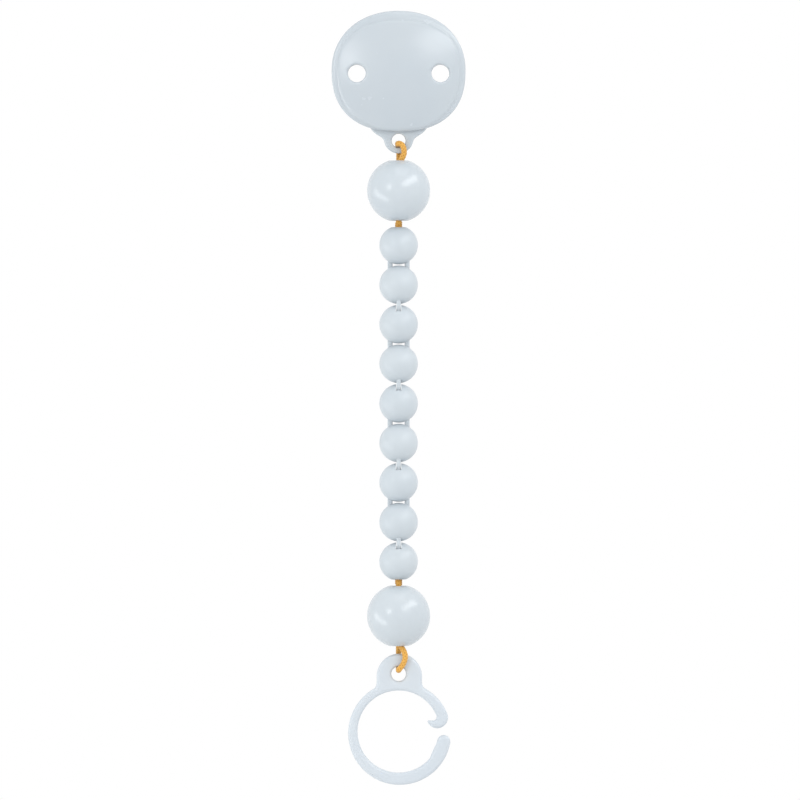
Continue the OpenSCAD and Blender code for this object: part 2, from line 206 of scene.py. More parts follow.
def make_world():
    """White surroundings, a little darker below, so that undersides shade gently."""
    world = bpy.data.worlds.new("studio")
    bpy.context.scene.world = world
    world.use_nodes = True
    nodes, links = world.node_tree.nodes, world.node_tree.links
    nodes.clear()
    where = nodes.new("ShaderNodeTexCoord")
    split = nodes.new("ShaderNodeSeparateXYZ")
    ramp = nodes.new("ShaderNodeValToRGB")
    shift = nodes.new("ShaderNodeMapRange")
    background = nodes.new("ShaderNodeBackground")
    output = nodes.new("ShaderNodeOutputWorld")
    shift.inputs["From Min"].default_value = -1
    links.new(where.outputs["Generated"], split.inputs[0])
    links.new(split.outputs["Z"], shift.inputs["Value"])
    links.new(shift.outputs[0], ramp.inputs[0])
    links.new(ramp.outputs[0], background.inputs["Color"])
    links.new(background.outputs[0], output.inputs["Surface"])
    stops = [(0.0, 0.34), (0.36, 0.54), (0.46, 1.0), (1.0, 1.0)]
    while len(ramp.color_ramp.elements) < len(stops):
        ramp.color_ramp.elements.new(0.5)
    for element, (place, grey) in zip(ramp.color_ramp.elements, stops):
        element.position = place
        element.color = (grey, grey, grey, 1)
    background.inputs["Strength"].default_value = 1.0


def make_floor():
    """A round pale floor under the object, fading into the white surroundings."""
    mesh = bpy.data.meshes.new("floor")
    shape = bmesh.new()
    bmesh.ops.create_circle(shape, cap_ends=True, segments=96, radius=FLOOR_RADIUS)
    shape.to_mesh(mesh)
    shape.free()
    floor = bpy.data.objects.new("floor", mesh)
    floor.location = (0, 0, cad_low.z - FLOOR_BELOW)
    bpy.context.scene.collection.objects.link(floor)
    material = bpy.data.materials.new("studio_floor")
    material.use_nodes = True
    nodes, links = material.node_tree.nodes, material.node_tree.links
    shader = nodes["Principled BSDF"]
    shader.inputs["Base Color"].default_value = (0.86, 0.86, 0.86, 1)
    shader.inputs["Roughness"].default_value = 0.9
    glow = nodes.new("ShaderNodeEmission")
    mix = nodes.new("ShaderNodeMixShader")
    where = nodes.new("ShaderNodeTexCoord")
    far = nodes.new("ShaderNodeVectorMath")
    far.operation = "LENGTH"
    fade = nodes.new("ShaderNodeMapRange")
    fade.inputs["From Min"].default_value = FADE_START
    fade.inputs["From Max"].default_value = FADE_END
    links.new(where.outputs["Object"], far.inputs[0])
    links.new(far.outputs["Value"], fade.inputs["Value"])
    links.new(fade.outputs[0], mix.inputs[0])
    links.new(shader.outputs[0], mix.inputs[1])
    links.new(glow.outputs[0], mix.inputs[2])
    links.new(mix.outputs[0], nodes["Material Output"].inputs["Surface"])
    mesh.materials.append(material)


# ---------- materials ----------


WORN_POINTINESS = (0.58, 0.68)


class Graph:
    """A material's node tree, with short calls for the nodes that these materials share."""

    def __init__(self, name):
        self.material = bpy.data.materials.new(name)
        self.material.use_nodes = True
        self.nodes = self.material.node_tree.nodes
        self.links = self.material.node_tree.links
        self.shader = self.nodes["Principled BSDF"]
        self.place = self.nodes.new("ShaderNodeTexCoord").outputs["Object"]

    def noise(self, scale, detail, roughness):
        node = self.nodes.new("ShaderNodeTexNoise")
        node.inputs["Scale"].default_value = scale
        node.inputs["Detail"].default_value = detail
        node.inputs["Roughness"].default_value = roughness
        self.links.new(self.place, node.inputs["Vector"])
        return node.outputs["Fac"]

    def spread(self, value, low, high, from_low=0.0, from_high=1.0):
        node = self.nodes.new("ShaderNodeMapRange")
        node.inputs["From Min"].default_value = from_low
        node.inputs["From Max"].default_value = from_high
        node.inputs["To Min"].default_value = low
        node.inputs["To Max"].default_value = high
        self.links.new(value, node.inputs["Value"])
        return node.outputs[0]

    def math(self, operation, a, b):
        node = self.nodes.new("ShaderNodeMath")
        node.operation = operation
        for socket, value in zip(node.inputs, (a, b)):
            if isinstance(value, (int, float)):
                socket.default_value = value
            else:
                self.links.new(value, socket)
        return node.outputs[0]

    def mix(self, factor, a, b):
        node = self.nodes.new("ShaderNodeMix")
        node.data_type = "RGBA"
        self.links.new(factor, node.inputs["Factor"])
        for index, value in ((6, a), (7, b)):
            if isinstance(value, tuple):
                node.inputs[index].default_value = (*value, 1)
            else:
                self.links.new(value, node.inputs[index])
        return node.outputs[2]

    def bump(self, height, strength, distance, below=None):
        node = self.nodes.new("ShaderNodeBump")
        node.inputs["Strength"].default_value = strength
        node.inputs["Distance"].default_value = distance
        self.links.new(height, node.inputs["Height"])
        if below is not None:
            self.links.new(below, node.inputs["Normal"])
        return node.outputs[0]

    def edges(self):
        """1 on worn outer edges, 0 elsewhere."""
        geometry_node = self.nodes.new("ShaderNodeNewGeometry")
        return self.spread(geometry_node.outputs["Pointiness"], 0, 1, *WORN_POINTINESS)

    def set(self, **values):
        for name, value in values.items():
            socket = self.shader.inputs[name.replace("_", " ")]
            if isinstance(value, (int, float)):
                socket.default_value = value
            else:
                self.links.new(value, socket)


# One pale blue plastic in three tones: the darker clip tone is painted shade, and the lighter ball and ring
# tones are painted light.
CLIP_BLUE_PAINTED_SHADE = (0.475, 0.525, 0.565)
BALL_BLUE_PAINTED_LIGHT = (0.522, 0.574, 0.612)
RING_BLUE_PAINTED_LIGHT = (0.565, 0.615, 0.66)


def plastic(name, tone, rough, grain, shine=0.5):
    """Pale moulded plastic: faint flow clouds, a fine eroded grain, and edges polished by handling."""
    g = Graph(name)
    cool = tuple(c * k for c, k in zip(tone, (0.972, 0.98, 0.99)))
    rubbed = tuple(min(1, c * 1.05) for c in tone)
    clouds = g.noise(45, 2, 0.5)
    speckle = g.noise(3200, 2, 0.6)
    colour = g.mix(g.spread(clouds, 0, 1, 0.35, 0.65), cool, tone)
    colour = g.mix(g.math("MULTIPLY", g.edges(), 0.6), colour, rubbed)
    smear = g.noise(150, 3, 0.6)
    roughness = g.spread(smear, rough - 0.025, rough + 0.03, 0.3, 0.7)
    roughness = g.math("SUBTRACT", roughness, g.math("MULTIPLY", g.edges(), 0.06))
    fine = g.bump(speckle, grain, 0.01 * MM)
    wave = g.bump(g.noise(70, 1, 0.4), 0.1, 0.04 * MM, fine)
    g.set(Base_Color=colour, Roughness=roughness, Normal=wave, IOR=1.5, Specular_IOR_Level=shine)
    g.set(Subsurface_Weight=0.12, Subsurface_Scale=2 * MM)
    g.shader.inputs["Subsurface Radius"].default_value = (1.0, 0.95, 0.9)
    return g.material


def braid_material():
    """Mustard polyester cord: filaments along each strand, with painted shade where strands dive under."""
    g = Graph("cord_braid")
    attribute = g.nodes.new("ShaderNodeAttribute")
    attribute.attribute_name = "strand"
    height = attribute.outputs["Fac"]
    fuzz = g.noise(2600, 4, 0.7)
    long_tone = g.noise(240, 2, 0.5)
    crest = (0.73, 0.385, 0.066)
    # The valley tone is painted shade in the gaps between strands; it is also the dark tone of slow random
    # patches along the cord.
    valley_shade_and_dark_tone = (0.40, 0.18, 0.025)
    pale_thread = (0.84, 0.50, 0.13)
    # Painted shade: the colour darkens from the crest tone to the valley tone down into the gaps between
    # strands.
    colour = g.mix(g.spread(height, 0, 1, 0.05, 0.75), valley_shade_and_dark_tone, crest)
    colour = g.mix(g.spread(fuzz, 0, 0.55, 0.45, 0.8), colour, pale_thread)
    colour = g.mix(g.spread(long_tone, 0, 0.3, 0.35, 0.65), colour, valley_shade_and_dark_tone)
    normal = g.bump(fuzz, 0.5, 0.06 * MM)
    g.set(Base_Color=colour, Roughness=g.spread(fuzz, 0.62, 0.85), Normal=normal)
    g.set(Sheen_Weight=0.35, Sheen_Roughness=0.4)
    return g.material


def steel_material():
    """Drawn stainless wire: fine lines and small pits."""
    g = Graph("drawn_steel")
    lines = g.noise(3500, 2, 0.5)
    pits = g.noise(700, 4, 0.7)
    colour = g.mix(g.spread(pits, 0, 1, 0.4, 0.7), (0.56, 0.57, 0.59), (0.66, 0.66, 0.67))
    roughness = g.spread(lines, 0.2, 0.38, 0.3, 0.7)
    g.set(Base_Color=colour, Metallic=1.0, Roughness=roughness)
    g.set(Normal=g.bump(lines, 0.15, 0.02 * MM))
    return g.material


# The plastic pieces share one plastic whose tones differ only by painted light and shade: clip and jaw
# darker, balls, pins and beads lighter, ring lightest.
MATERIALS = {
    "clip": plastic("clip_plastic", CLIP_BLUE_PAINTED_SHADE, 0.25, 0.1, 0.75),
    "jaw": plastic("jaw_plastic", CLIP_BLUE_PAINTED_SHADE, 0.38, 0.3),
    "ball": plastic("ball_plastic", BALL_BLUE_PAINTED_LIGHT, 0.38, 0.3, 0.7),
    "link_pin": plastic("link_pin_plastic", BALL_BLUE_PAINTED_LIGHT, 0.4, 0.3),
    "bead": plastic("bead_plastic", BALL_BLUE_PAINTED_LIGHT, 0.24, 0.08, 0.85),
    "ring": plastic("ring_plastic", RING_BLUE_PAINTED_LIGHT, 0.3, 0.12),
    "cord": braid_material(),
    "steel": steel_material(),
}

# ---------- mesh tools ----------


def add_piece(name, verts, faces, slot, body, nodes=(), sharp=35, attribute=None):
    """Makes a closed mesh from millimetre points, gives it its finish and lets it ride on its body."""
    mesh = bpy.data.meshes.new(name)
    mesh.from_pydata([tuple(MM * c for c in v) for v in verts], [], faces)
    shape = bmesh.new()
    shape.from_mesh(mesh)
    bmesh.ops.remove_doubles(shape, verts=shape.verts, dist=1e-4 * MM)
    bmesh.ops.recalc_face_normals(shape, faces=shape.faces)
    shape.to_mesh(mesh)
    shape.free()
    if attribute is not None:
        layer = mesh.attributes.new("strand", "FLOAT", "POINT")
        layer.data.foreach_set("value", np.asarray(attribute, np.float32))
    return finish_piece(name, mesh, slot, body, nodes, sharp)


def finish_piece(name, mesh, slot, body, nodes=(), sharp=35):
    """Gives a mesh in metres its finish, smooth shading and body."""
    mesh.materials.clear()
    mesh.materials.append(MATERIALS[slot])
    mesh.shade_smooth()
    mesh.set_sharp_from_angle(angle=math.radians(sharp))
    piece = bpy.data.objects.new(name, mesh)
    bpy.context.scene.collection.objects.link(piece)
    if body:
        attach(piece, body)
    if nodes:
        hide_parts(*nodes)
    return piece


def mesh_of(verts, faces):
    """A bare closed mesh in millimetres, for cutting and joining."""
    mesh = bpy.data.meshes.new("work")
    mesh.from_pydata([tuple(v) for v in verts], [], faces)
    shape = bmesh.new()
    shape.from_mesh(mesh)
    bmesh.ops.remove_doubles(shape, verts=shape.verts, dist=1e-4)
    bmesh.ops.recalc_face_normals(shape, faces=shape.faces)
    shape.to_mesh(mesh)
    shape.free()
    return mesh


def combine(mesh, steps):
    """Joins other meshes to a mesh or cuts them out of it. A step is ("UNION" or "DIFFERENCE", mesh)."""
    base = bpy.data.objects.new("work", mesh)
    bpy.context.scene.collection.objects.link(base)
    tools = []
    for operation, tool_mesh in steps:
        tool = bpy.data.objects.new("tool", tool_mesh)
        bpy.context.scene.collection.objects.link(tool)
        tools.append(tool)
        modifier = base.modifiers.new("step", "BOOLEAN")
        modifier.operation = operation
        modifier.solver = "EXACT"
        modifier.object = tool
    bpy.context.view_layer.update()
    result = bpy.data.meshes.new_from_object(base.evaluated_get(bpy.context.evaluated_depsgraph_get()))
    for obj in [base, *tools]:
        bpy.data.objects.remove(obj)
    return result


def moved(mesh, offset=(0, 0, 0), turn=0.0, scale=1.0):
    """A copy of a mesh, turned about the chain's axis in degrees, moved, and then scaled."""
    copy = mesh.copy()
    points = np.zeros(len(copy.vertices) * 3)
    copy.vertices.foreach_get("co", points)
    points = points.reshape(-1, 3)
    c, s = math.cos(math.radians(turn)), math.sin(math.radians(turn))
    points = points @ np.array([[c, s, 0], [-s, c, 0], [0, 0, 1]]) + np.array(offset)
    copy.vertices.foreach_set("co", (points * scale).ravel())
    copy.update()
    return copy


def arc(centre, radius, start, stop, step=3.0):
    """Points of an arc, from one angle to another."""
    count = max(1, math.ceil(abs(stop - start) / step))
    angles = np.radians(np.linspace(start, stop, count + 1))
    return [(centre[0] + radius * math.cos(a), centre[1] + radius * math.sin(a)) for a in angles]


def oval(half_w, up, down, n_up=2.12, n_down=2.38, steps=144, middle=COVER_MID):
    """A closed superellipse whose upper and lower halves differ."""
    a = np.arange(steps) * 2 * np.pi / steps
    n = np.where(a < np.pi, n_up, n_down)
    h = np.where(a < np.pi, up, down)
    c, s = np.cos(a), np.sin(a)
    x = half_w * np.sign(c) * np.abs(c) ** (2 / n)
    z = h * np.sign(s) * np.abs(s) ** (2 / n)
    return np.column_stack([x, z + middle])


def circle(centre, radius, steps=48):
    """A circle, clockwise, as the edge of a hole."""
    a = -np.arange(steps) * 2 * np.pi / steps
    return np.column_stack([centre[0] + radius * np.cos(a), centre[1] + radius * np.sin(a)])


def even(outline, step, rounds=0):
    """A closed outline with evenly spaced points, its corners softened by rounds of smoothing."""
    points = np.array(outline, float)
    closed = np.vstack([points, points[:1]])
    along = np.concatenate([[0], np.cumsum(np.linalg.norm(np.diff(closed, axis=0), axis=1))])
    places = np.linspace(0, along[-1], int(round(along[-1] / step)), endpoint=False)
    points = np.column_stack([np.interp(places, along, closed[:, i]) for i in (0, 1)])
    for _ in range(rounds):
        points = points / 2 + (np.roll(points, 1, axis=0) + np.roll(points, -1, axis=0)) / 4
    return points


def distance(points, loops):
    """Distance from each point to the nearest edge of some closed loops."""
    best = np.full(len(points), np.inf)
    for loop in loops:
        edge = np.roll(loop, -1, axis=0) - loop
        along = ((points[:, None] - loop) * edge).sum(2) / (edge * edge).sum(1)
        nearest = loop + np.clip(along, 0, 1)[..., None] * edge
        best = np.minimum(best, np.linalg.norm(points[:, None] - nearest, axis=2).min(1))
    return best


def inside(points, loop):
    """Whether each point lies inside a closed loop."""
    a, b = loop, np.roll(loop, -1, axis=0)
    x, y = points[:, 0][:, None], points[:, 1][:, None]
    spans = (a[:, 1] > y) != (b[:, 1] > y)
    rise = np.where(b[:, 1] == a[:, 1], 1e-9, b[:, 1] - a[:, 1])
    crosses = x < a[:, 0] + (y - a[:, 1]) / rise * (b[:, 0] - a[:, 0])
    return (spans & crosses).sum(1) % 2 == 1


def within(points, loops):
    """Whether each point lies inside the first loop and outside the others."""
    keep = inside(points, loops[0])
    for hole in loops[1:]:
        keep &= ~inside(points, hole)
    return keep


def inset(loop, depth):
    """A loop moved into the material on its left."""
    along = np.roll(loop, -1, axis=0) - np.roll(loop, 1, axis=0)
    along /= np.linalg.norm(along, axis=1)[:, None]
    return loop + depth * np.column_stack([-along[:, 1], along[:, 0]])


class Shell:
    """Points and faces of one piece: two flat coordinates and a depth for each point."""

    def __init__(self):
        self.points = []
        self.faces = []

    def add(self, points):
        start = len(self.points)
        self.points.extend(tuple(map(float, p)) for p in points)
        return list(range(start, len(self.points)))

    def strip(self, a, b):
        """Joins two closed loops that have the same number of points."""
        for i in range(len(a)):
            j = (i + 1) % len(a)
            self.faces.append((a[i], a[j], b[j], b[i]))

    def cap(self, loop):
        self.faces.append(tuple(loop))

    def fill(self, loops, extra):
        """Triangles inside the first loop and outside the others, through the extra points as well.
        Each point is (flat, flat, depth). Returns the indices of the loops' points."""
        given = np.vstack([*loops, extra]) if len(extra) else np.vstack(loops)
        edges, start = [], 0
        for loop in loops:
            n = len(loop)
            edges += [(start + i, start + (i + 1) % n) for i in range(n)]
            start += n
        made = geometry.delaunay_2d_cdt([Vector(p[:2]) for p in given], edges, [], 0, 1e-7)
        flat = np.array([tuple(v) for v in made[0]])
        source = [origin[0] if origin else -1 for origin in made[3]]
        depth = np.array([given[s, 2] if s >= 0 else np.nan for s in source])
        for i in np.flatnonzero(np.isnan(depth)):
            depth[i] = given[np.argmin(np.linalg.norm(given[:, :2] - flat[i], axis=1)), 2]
        index = self.add(np.column_stack([flat, depth]))
        faces = np.array([f for f in made[2] if len(f) == 3])
        centres = flat[faces].mean(1)
        keep = within(centres, [loop[:, :2] for loop in loops])
        self.faces += [tuple(index[v] for v in f) for f in faces[keep]]
        of_source = {}
        for i, origins in enumerate(made[3]):
            for origin in origins:
                of_source[origin] = index[i]
        found, start = [], 0
        for loop in loops:
            found.append([of_source[start + i] for i in range(len(loop))])
            start += len(loop)
        return found


def drop(depth, radius):
    """How far a rounded edge lies below its face, at a distance from the outline."""
    if radius <= 0:
        return np.zeros(len(depth))
    return radius - np.sqrt(np.maximum(0, radius**2 - (radius - np.minimum(depth, radius)) ** 2))


def plate(loops, front, back, radius, spacing=0.0, rounds=5):
    """A plate between two depths with rounded edges. front and back give the depth at flat points."""
    shell = Shell()
    extra = []
    for step in range(1, rounds + 1):
        depth = radius * (1 - math.cos(math.pi / 2 * step / rounds))
        for loop in loops:
            ring = inset(loop, depth)
            extra.append(ring[(distance(ring, loops) > 0.985 * depth) & within(ring, loops)])
    if spacing:
        low, high = loops[0].min(0), loops[0].max(0)
        grid = np.stack(np.meshgrid(*[np.arange(a, b, spacing) for a, b in zip(low, high)]), -1)
        grid = grid.reshape(-1, 2)
        grid = grid[within(grid, loops)]
        extra.append(grid[distance(grid, loops) > radius + 0.4 * spacing])
    extra = np.vstack(extra) if extra and radius > 0 or spacing else np.zeros((0, 2))
    sides = []
    for face, sign in ((front, 1), (back, -1)):
        raised = [np.column_stack([p, face(p) + sign * drop(distance(p, loops), radius)])
                  for p in [*loops, extra]]
        sides.append(shell.fill(raised[:-1], raised[-1]))
    for a, b in zip(*sides):
        shell.strip(a, b)
    return shell


def level(depth):
    return lambda points: np.full(len(points), float(depth))


def facing(points):
    """Flat coordinates across and up, and a depth along Y."""
    return [(u, d, v) for u, v, d in points]


def sideways(points):
    """Flat coordinates along Y and up, and a depth along X."""
    return [(d, u, v) for u, v, d in points]


def lathe(profile, steps=96):
    """Turns a closed profile of (radius, height) about the vertical axis."""
    profile = np.array(profile, float)
    n = len(profile)
    points, faces = [], []
    for i in range(steps):
        a = 2 * math.pi * i / steps
        points += [(r * math.cos(a), r * math.sin(a), z) for r, z in profile]
    for i in range(steps):
        for k in range(n):
            corners = (i * n + k, ((i + 1) % steps) * n + k)
            nexts = (((i + 1) % steps) * n + (k + 1) % n, i * n + (k + 1) % n)
            faces.append((*corners, *nexts))
    return points, faces


def bezier(a, b, c, steps=6):
    """Points of a quadratic curve from a to c."""
    t = np.linspace(0, 1, steps + 1)[:, None]
    a, b, c = (np.array(p, float) for p in (a, b, c))
    return [tuple(p) for p in (1 - t) ** 2 * a + 2 * t * (1 - t) * b + t**2 * c]


def smooth_curve(route, step):
    """Evenly spaced points on the smooth curve through a route."""
    p = np.array(route, float)
    p = np.vstack([p[:1], p, p[-1:]])
    t = np.linspace(0, 1, 24, endpoint=False)[:, None]
    parts = []
    for a, b, c, d in zip(p, p[1:], p[2:], p[3:]):
        parts.append(0.5 * (2 * b + (c - a) * t + (2 * a - 5 * b + 4 * c - d) * t**2
                            + (3 * b - a - 3 * c + d) * t**3))
    curve = np.vstack([*parts, p[-1:]])
    along = np.concatenate([[0], np.cumsum(np.linalg.norm(np.diff(curve, axis=0), axis=1))])
    places = np.linspace(0, along[-1], int(along[-1] / step) + 1)
    return np.column_stack([np.interp(places, along, curve[:, i]) for i in range(3)])


def sweep(curve, radius, sides, closed=False):
    """A tube along a curve. radius gives the radii at an angle and a distance along the curve."""
    step = np.linalg.norm(np.diff(curve, axis=0), axis=1).mean()
    if closed:
        along = np.roll(curve, -1, axis=0) - np.roll(curve, 1, axis=0)
    else:
        along = np.gradient(curve, axis=0)
    along /= np.linalg.norm(along, axis=1)[:, None]
    angles = np.arange(sides) * 2 * np.pi / sides
    points, heights = [], []
    for i, (centre, t) in enumerate(zip(curve, along)):
        u = np.array([1.0, 0, 0]) - t[0] * t
        u /= np.linalg.norm(u)
        v = np.cross(t, u)
        r, height = radius(angles, i * step)
        points += list(centre + r[:, None] * (np.cos(angles)[:, None] * u + np.sin(angles)[:, None] * v))
        heights += list(height)
    n = len(curve)
    faces = [
        (i * sides + k, (i + 1) % n * sides + k, (i + 1) % n * sides + (k + 1) % sides,
         i * sides + (k + 1) % sides)
        for i in range(n if closed else n - 1) for k in range(sides)
    ]
    if not closed:
        faces += [tuple(range(sides)), tuple(range((n - 1) * sides, n * sides))]
    return points, faces, heights


def plain(radius):
    return lambda angles, along: (np.full(len(angles), radius), np.ones(len(angles)))


def braided(radius, strands=4, pitch=3.6, relief=0.09):
    """Radii of a braid: two sets of strands that turn opposite ways and pass over each other."""

    def at(angles, along):
        turn = 2 * np.pi * along / pitch
        one = np.cos(strands * (angles - turn))
        two = np.cos(strands * (angles + turn))
        height = np.maximum(one, two) / 2 + 0.5
        return radius * (1 - relief + relief * height), height

    return at


# ---------- clip ----------

CREASE = {"half_w": 17.85, "up": 14.35, "down": 17.45, "n_up": 2.42, "n_down": 2.38}
CREASE_DROP = 0.32
CREASE_IN = 0.75
SIDE_Y = -2.75


def dome_y(points, radius=DOME_R):
    """Depth of the cover's domed face."""
    centre_y = DOME_TOP_Y + DOME_R
    flat = points[:, 0] ** 2 + (points[:, 1] - COVER_MID) ** 2
    return centre_y - np.sqrt(radius**2 - flat)


def between_outlines(t):
    """The outline that lies a share of the way from the cover's edge to the crease of its face."""
    start = {"half_w": COVER_HALF_W, "up": COVER_UP, "down": COVER_DOWN, "n_up": 2.12, "n_down": 2.38}
    return oval(**{k: start[k] + t * (CREASE[k] - start[k]) for k in start})


def cover_rings():
    """Rings of the cover's front: the rounded shoulder, the small step at the crease, and the dome."""
    crease = between_outlines(1)
    foot = dome_y(crease) + CREASE_DROP
    rings = []
    for t in (0, 0.03, 0.09, 0.18, 0.3, 0.45, 0.62, 0.8, 1.0):
        flat = between_outlines(t)
        rise = (1 - (1 - t) ** 2.3) ** (1 / 2.3)
        rings.append(np.column_stack([flat, SIDE_Y + (foot - SIDE_Y) * rise]))
    for depth, share in ((0.1, 0.8), (0.22, 0.48), (0.4, 0.18), (CREASE_IN, 0.0)):
        flat = inset(crease, depth)
        rings.append(np.column_stack([flat, dome_y(flat) + CREASE_DROP * share]))
    middle = np.array([0, COVER_MID])
    start = inset(crease, CREASE_IN)
    for share in np.linspace(0.94, 0.06, 16):
        flat = middle + (start - middle) * share
        rings.append(np.column_stack([flat, dome_y(flat)]))
    rings.append(np.array([[0, COVER_MID, DOME_TOP_Y]]))
    return rings


def make_cover():
    shell = Shell()
    fillet = 0.5
    vents = [(-VENT_X, VENT_Z), (VENT_X, VENT_Z)]
    edges = [circle(c, VENT_R) for c in vents]
    rings = cover_rings()
    extra = np.vstack(rings[1:])
    clear = min_gap(extra, vents) > VENT_R + fillet + 0.45
    parts = [extra[clear]]
    for centre in vents:
        for step in range(1, 6):
            depth = fillet * (1 - math.cos(math.pi / 2 * step / 5))
            ring = circle(centre, VENT_R + depth)
            parts.append(np.column_stack([ring, dome_y(ring) + drop(np.full(len(ring), depth), fillet)]))
    holes = [np.column_stack([edge, dome_y(edge) + fillet]) for edge in edges]
    front = shell.fill([rings[0], *holes], np.vstack(parts))
    rear = -BASE_T
    outer = shell.add(np.column_stack([rings[0][:, :2], np.full(len(rings[0]), rear)]))
    shell.strip(front[0], outer)
    # inside: the cavity, with a sleeve round each vent hole and four snap posts
    wall = oval(COVER_HALF_W - COVER_WALL, COVER_UP - COVER_WALL, COVER_DOWN - COVER_WALL)
    wall_rear = shell.add(np.column_stack([wall, np.full(len(wall), rear)]))
    shell.strip(outer, wall_rear)
    roof = lambda p: np.minimum(dome_y(p, DOME_R - COVER_WALL), rear - 0.4)
    sleeves = [circle(c, VENT_R + COVER_WALL) for c in vents]
    posts = [circle(c, 1.2, 24) for c in SNAP_POSTS]
    loops = [wall, *sleeves, *posts]
    grid = np.vstack([COVER_MID * np.array([0, 1]) + (wall - [0, COVER_MID]) * s
                      for s in np.linspace(0.9, 0.1, 9)])
    grid = grid[(distance(grid, loops) > 0.5) & within(grid, loops)]
    cavity = shell.fill([np.column_stack([p, roof(p)]) for p in loops], np.column_stack([grid, roof(grid)]))
    shell.strip(cavity[0], wall_rear)
    for edge, hole, ring, loop in zip(front[1:], edges, sleeves, cavity[1:3]):
        bore = shell.add(np.column_stack([hole, np.full(len(hole), rear)]))
        sleeve = shell.add(np.column_stack([ring, np.full(len(ring), rear)]))
        shell.strip(edge, bore)
        shell.strip(bore, sleeve)
        shell.strip(sleeve, loop)
    for post, loop in zip(posts, cavity[3:]):
        end = shell.add(np.column_stack([post, np.full(len(post), rear + 1.15)]))
        shell.strip(loop, end)
        shell.cap(end)
    add_piece("front_cover", facing(shell.points), shell.faces, "clip", "clip", ["clip_cover"], sharp=50)


def min_gap(points, centres):
    """Distance from each point to the nearest of some centres."""
    return np.min([np.linalg.norm(points[:, :2] - np.array(c), axis=1) for c in centres], axis=0)


def base_outline():
    """The base plate's oval, with the eyelet tab hanging from it."""
    rim = oval(COVER_HALF_W - 0.8, COVER_UP - 0.8, COVER_DOWN - 0.8)
    away = (rim[:, 1] > COVER_MID) | (np.abs(rim[:, 0]) > 8.9)
    start = int(np.flatnonzero(~away)[-1]) + 1
    order = np.roll(np.arange(len(rim)), -start)
    rim = rim[order][away[order]]
    shoulder = [(-7.5, 2.1), (-6.5, 1.3), (-5.5, 0.7), (-4.7, 0.2)]
    left = [(x, CLIP_TAB_Z + up) for x, up in shoulder]
    right = [(-x, z) for x, z in reversed(left)]
    tip = arc((0, CLIP_TAB_Z), CLIP_TAB_R, 184, 356)
    return even([*map(tuple, rim), *left, *tip, *right], 0.45, 2)


def ear_outline():
    r = 2.2
    return even([*arc((HINGE_Y, HINGE_Z), r, -90, 90), (-0.6, HINGE_Z + r), (-0.6, HINGE_Z - r)], 0.3, 1)


def tooth(z, tip_y, root_y, half):
    """One gripping tooth, a rounded ridge across the clip."""
    outline = even([(root_y, z - half), (tip_y, z), (root_y, z + half)], 0.12, 1)
    shell = plate([ccw(outline)], level(-JAW_HALF_W + 1), level(JAW_HALF_W - 1), 0.08, rounds=2)
    return mesh_of(sideways(shell.points), shell.faces)


def ccw(loop):
    """The loop, running anticlockwise."""
    x, y = loop[:, 0], loop[:, 1]
    area = (x * np.roll(y, -1) - y * np.roll(x, -1)).sum()
    return loop if area > 0 else loop[::-1].copy()


def bore_x(radius):
    """A cutter for the hinge pin's bore."""
    shell = plate([circle((HINGE_Y, HINGE_Z), radius, 40)[::-1]], level(-12), level(12), 0)
    return mesh_of(sideways(shell.points), shell.faces)


def make_base():
    vents = [circle((s * VENT_X, VENT_Z), VENT_R) for s in (-1, 1)]
    eyelet = circle((0, CLIP_EYE_Z), CLIP_EYE_R, 40)
    shell = plate([base_outline(), *vents, eyelet], level(-BASE_T + 0.01), level(0), 0.45, 1.6)
    steps = []
    for s in (-1, 1):
        x0, x1 = sorted((s * EAR_IN, s * (EAR_IN + EAR_T)))
        ear = plate([ccw(ear_outline())], level(x0), level(x1), 0.3, rounds=3)
        steps.append(("UNION", mesh_of(sideways(ear.points), ear.faces)))
    for z in (-0.8, 0.8):
        steps.append(("UNION", tooth(z, 0.5, -0.3, 0.55)))
    steps.append(("DIFFERENCE", bore_x(HINGE_R)))
    mesh = combine(mesh_of(facing(shell.points), shell.faces), steps)
    finish_piece("rear_base", moved(mesh, scale=MM), "clip", "clip", ["clip_base"])


def jaw_outline():
    """Side view of the jaw, with grip ridges on the back of the thumb pad."""
    throat = 4.5
    back = [(6.2, -1.2), (5.3, 1.1), (3.4, 2.3), (1.5, 2.2), (0.7, 1.5)]
    front = [(0.7, -1.6), (1.5, -2.1), (throat, -2.6), (throat, -11.5), (5.9, -14.6),
             (6.1, -20.5), (7.6, -28.9), (8.1, -29.4), (8.9, -29.3)]
    ridges = []
    for z in (-27.9, -26.7, -25.5, -24.3, -23.1):
        y = 8.1 + (-20.5 - z) * 0.148
        ridges += [(y - 0.05, z - 0.5), (y + 0.3, z - 0.12), (y + 0.3, z + 0.12), (y - 0.05, z + 0.5)]
    spine = [(8.1, -20.5), (7.8, -14.5), (6.4, -10.8)]
    return even([*front, *ridges, *spine, *back], 0.22, 1)


def jaw_half_width(points):
    """Half the jaw's width at a height: its corners are rounded at the nose and at the thumb pad."""
    z = points[:, 1]
    pad, nose = 3.4, 1.2
    below = np.clip(-29.4 + pad - z, 0, pad)
    above = np.clip(z - (2.3 - nose), 0, nose)
    cut = (pad - np.sqrt(pad**2 - below**2)) + (nose - np.sqrt(nose**2 - above**2))
    return JAW_HALF_W - cut


